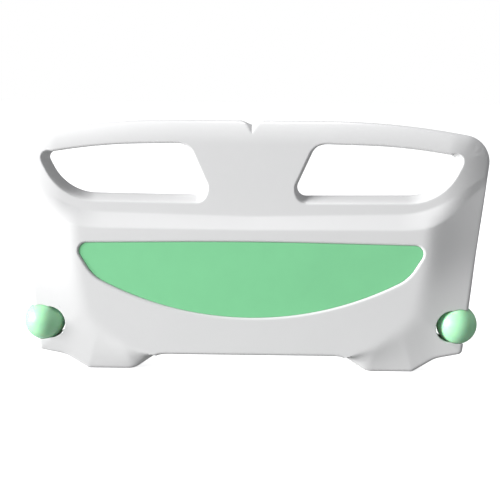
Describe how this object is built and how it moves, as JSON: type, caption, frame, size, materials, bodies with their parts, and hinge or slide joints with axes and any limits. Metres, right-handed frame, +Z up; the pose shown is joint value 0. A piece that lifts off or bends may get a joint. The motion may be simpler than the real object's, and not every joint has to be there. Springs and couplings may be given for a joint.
{
  "type": "hospital bed end board",
  "caption": "Moulded bed end board with hand openings, a smile-shaped green insert, ball bumpers at the lower corners and sockets that drop over the bed's posts.",
  "frame": {"origin": "midway between the feet, on the plane they stand on, where the casings meet", "axes": "+Z up, +X to the right seen from the front, -Y out of the front face with the insert"},
  "size_m": [0.9454, 0.082, 0.509],
  "materials": {
    "casing_white": "satin moulded ABS",
    "insert_green": "smooth satin sheet",
    "bumper_green": "smooth moulded",
    "adhesive": "foam tape",
    "frame_grey": "powder coat",
    "nylon": "natural nylon",
    "cup_white": "moulded",
    "guide_black": "moulded",
    "steel": "zinc plated",
    "lock_grey": "fine texture",
    "cap_white": "satin"
  },
  "bodies": {
    "board": {"front_shell": "casing_white", "back_shell": "casing_white", "insert_panel": "insert_green", "insert_tape": "adhesive", "rail_tube": "frame_grey", "cross_tube": "frame_grey", "left_socket_tube": "frame_grey", "left_socket_guide": "guide_black", "left_bumper_cup": "cup_white", "left_bumper_pin": "steel", "left_upper_thrust_washer": "nylon", "left_lower_thrust_washer": "nylon", "left_lock_housing": "lock_grey", "left_lock_nut": "nylon", "left_lock_washer": "nylon", "right_socket_tube": "frame_grey", "right_socket_guide": "guide_black", "right_bumper_cup": "cup_white", "right_bumper_pin": "steel", "right_upper_thrust_washer": "nylon", "right_lower_thrust_washer": "nylon", "right_lock_housing": "lock_grey", "right_lock_nut": "nylon", "right_lock_washer": "nylon", "shell_screws": "steel", "screw_caps": "cap_white", "frame_screws": "steel"},
    "left_bumper": {"left_bumper_ball": "bumper_green", "left_upper_bush": "nylon", "left_lower_bush": "nylon"},
    "left_lock": {"left_lock_knob": "lock_grey", "left_lock_cam": "steel", "left_lock_screw": "steel"},
    "right_bumper": {"right_bumper_ball": "bumper_green", "right_upper_bush": "nylon", "right_lower_bush": "nylon"},
    "right_lock": {"right_lock_knob": "lock_grey", "right_lock_cam": "steel", "right_lock_screw": "steel"}
  },
  "joints": [
    {"name": "left_bumper_spin", "type": "hinge", "parent": "board", "child": "left_bumper", "pos_m": [-0.424, 0, 0.098], "axis": [0, 0, 1], "continuous": true},
    {"name": "left_lock_turn", "type": "hinge", "parent": "board", "child": "left_lock", "pos_m": [-0.252, 0, 0.098], "axis": [0, -1, 0], "range_deg": [0, 90]},
    {"name": "right_bumper_spin", "type": "hinge", "parent": "board", "child": "right_bumper", "pos_m": [0.424, 0, 0.098], "axis": [0, 0, 1], "continuous": true},
    {"name": "right_lock_turn", "type": "hinge", "parent": "board", "child": "right_lock", "pos_m": [0.252, 0, 0.098], "axis": [0, 1, 0], "range_deg": [0, 90]}
  ]
}
